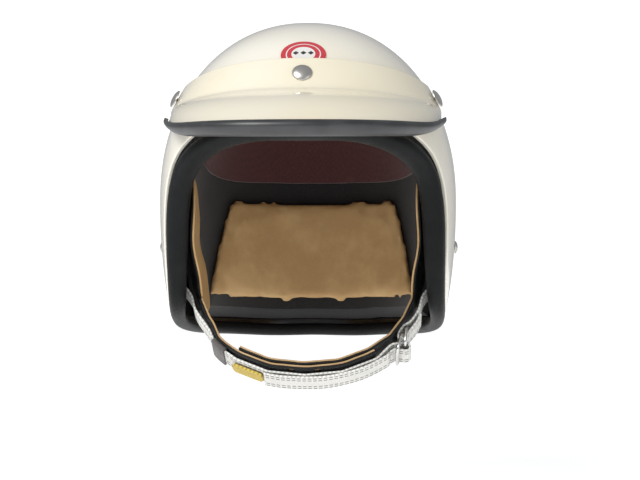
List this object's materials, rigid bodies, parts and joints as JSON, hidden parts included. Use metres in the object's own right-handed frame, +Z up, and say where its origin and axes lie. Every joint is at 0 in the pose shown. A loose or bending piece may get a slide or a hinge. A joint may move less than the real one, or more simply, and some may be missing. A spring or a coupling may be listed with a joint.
{
  "type": "open face motorcycle helmet",
  "caption": "Open face motorcycle helmet with a detachable peak on three press studs, a leather edge roll, ear flaps and a webbing chin strap closed by D rings.",
  "frame": {"origin": "head_seat: the middle of the head cavity, where the wearer's head holds the helmet", "axes": "-Y is the front (the peak), +X the wearer's left, +Z up through the crown"},
  "size_m": [0.247, 0.3415, 0.2986],
  "materials": {
    "ivory_paint": "high gloss enamel",
    "black_leather": "fine grained, satin",
    "tan_leather": "soft, matte",
    "black_foam": "moulded foam",
    "maroon_fabric": "brushed knit",
    "white_webbing": "woven, two rows of grey stitches",
    "grey_vinyl": "soft vinyl",
    "yellow_webbing": "woven tape",
    "nickel": "brushed nickel plate",
    "ring_steel": "polished wire",
    "black_rubber": "satin moulded edging",
    "badge_print": "printed sticker, red and white"
  },
  "bodies": {
    "helmet": {"brow_pad": "tan_leather", "center_snap_stud": "nickel", "crown_lining": "maroon_fabric", "edge_roll": "black_leather", "impact_liner": "black_foam", "left_ear_flap": "black_leather", "left_ear_lining": "tan_leather", "left_rivet_washer": "nickel", "left_snap_stud": "nickel", "left_strap_rivet": "nickel", "nape_pad": "tan_leather", "outer_shell": "ivory_paint", "right_ear_flap": "black_leather", "right_ear_lining": "tan_leather", "right_rivet_washer": "nickel", "right_snap_stud": "nickel", "right_strap_rivet": "nickel", "shell_badge": "badge_print"},
    "peak": {"center_snap_cap": "nickel", "center_snap_socket": "nickel", "left_snap_cap": "nickel", "left_snap_socket": "nickel", "right_snap_cap": "nickel", "right_snap_socket": "nickel", "visor_peak": "ivory_paint", "visor_trim": "black_rubber"},
    "chin_strap": {"left_anchor_plate": "nickel", "left_chin_band": "black_leather", "left_chin_lining": "tan_leather", "left_strap": "white_webbing", "right_anchor_plate": "nickel", "right_chin_band": "black_leather", "right_chin_lining": "tan_leather", "right_strap": "white_webbing", "strap_keeper": "grey_vinyl"},
    "strap_tail": {"strap_tail": "white_webbing", "pull_tab": "yellow_webbing"},
    "d_ring_inner": {"d_ring_inner": "ring_steel"},
    "d_ring_outer": {"d_ring_outer": "ring_steel"}
  },
  "joints": [
    {"name": "peak_lift", "type": "hinge", "parent": "helmet", "child": "peak", "pos_m": [0, -0.04897, 0.04959], "axis": [-1, 0, 0], "range_deg": [0, 30]},
    {"name": "strap_swing", "type": "hinge", "parent": "helmet", "child": "chin_strap", "pos_m": [0, 0, -0.068], "axis": [1, 0, 0], "range_deg": [-12, 25]},
    {"name": "tail_lift", "type": "hinge", "parent": "chin_strap", "child": "strap_tail", "pos_m": [0.0664, -0.051, -0.15634], "axis": [0, -0.866, 0.5], "range_deg": [0, 35]},
    {"name": "inner_ring_turn", "type": "hinge", "parent": "chin_strap", "child": "d_ring_inner", "pos_m": [0.0768, -0.043, -0.14248], "axis": [0, -0.866, 0.5], "range_deg": [-2, 2]},
    {"name": "outer_ring_turn", "type": "hinge", "parent": "chin_strap", "child": "d_ring_outer", "pos_m": [0.0802, -0.0401, -0.13745], "axis": [0, -0.866, 0.5], "range_deg": [-2, 2]}
  ]
}
